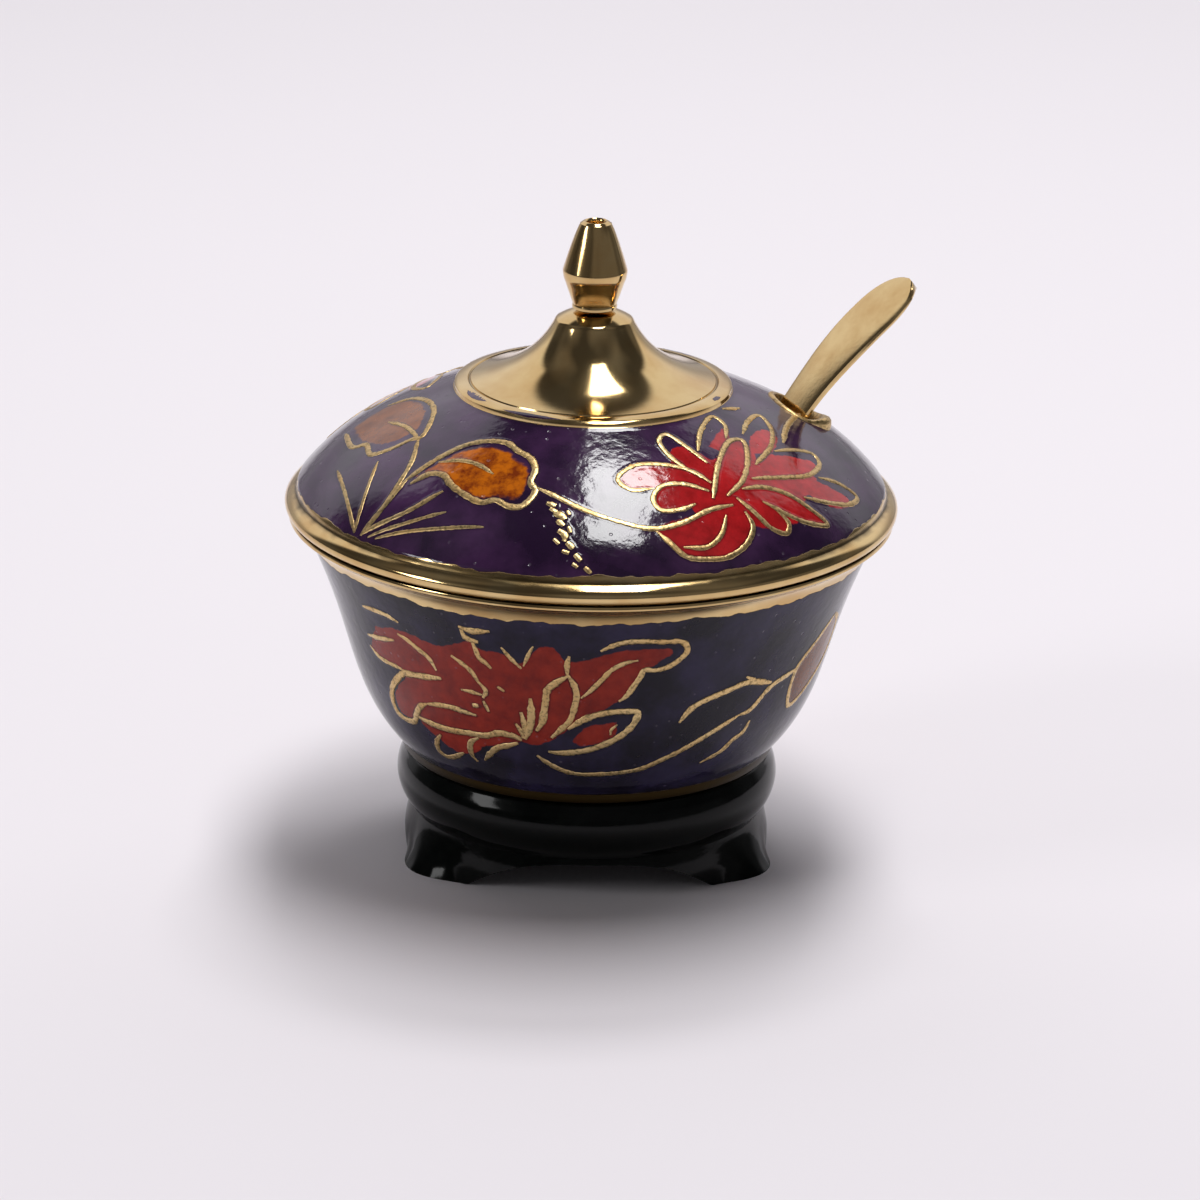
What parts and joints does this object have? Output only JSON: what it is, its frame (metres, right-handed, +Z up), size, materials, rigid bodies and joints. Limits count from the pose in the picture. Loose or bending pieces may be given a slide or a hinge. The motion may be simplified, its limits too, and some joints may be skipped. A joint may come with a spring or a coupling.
{
  "type": "lidded metal jar",
  "caption": "Enamelled brass jar with a domed lid that lifts off, a turned finial, a spoon through the lid and a lacquered wooden stand.",
  "frame": {"origin": "on the jar's turning axis at the floor under the stand", "axes": "+Z up along the turning axis; -Y is 15 degrees to the left of the side that the picture faces; the spoon leans out 27.5 degrees from +X towards +Y"},
  "size_m": [0.082, 0.082, 0.0868],
  "materials": {
    "lacquer": "gloss black lacquer",
    "enamel": "glossy aubergine enamel over brass, with red flowers inside raised brass lines",
    "brass": "polished"
  },
  "bodies": {
    "root": {"stand": "lacquer", "bowl": "enamel", "lid": "enamel", "finial": "brass", "spoon": "brass"}
  },
  "joints": []
}
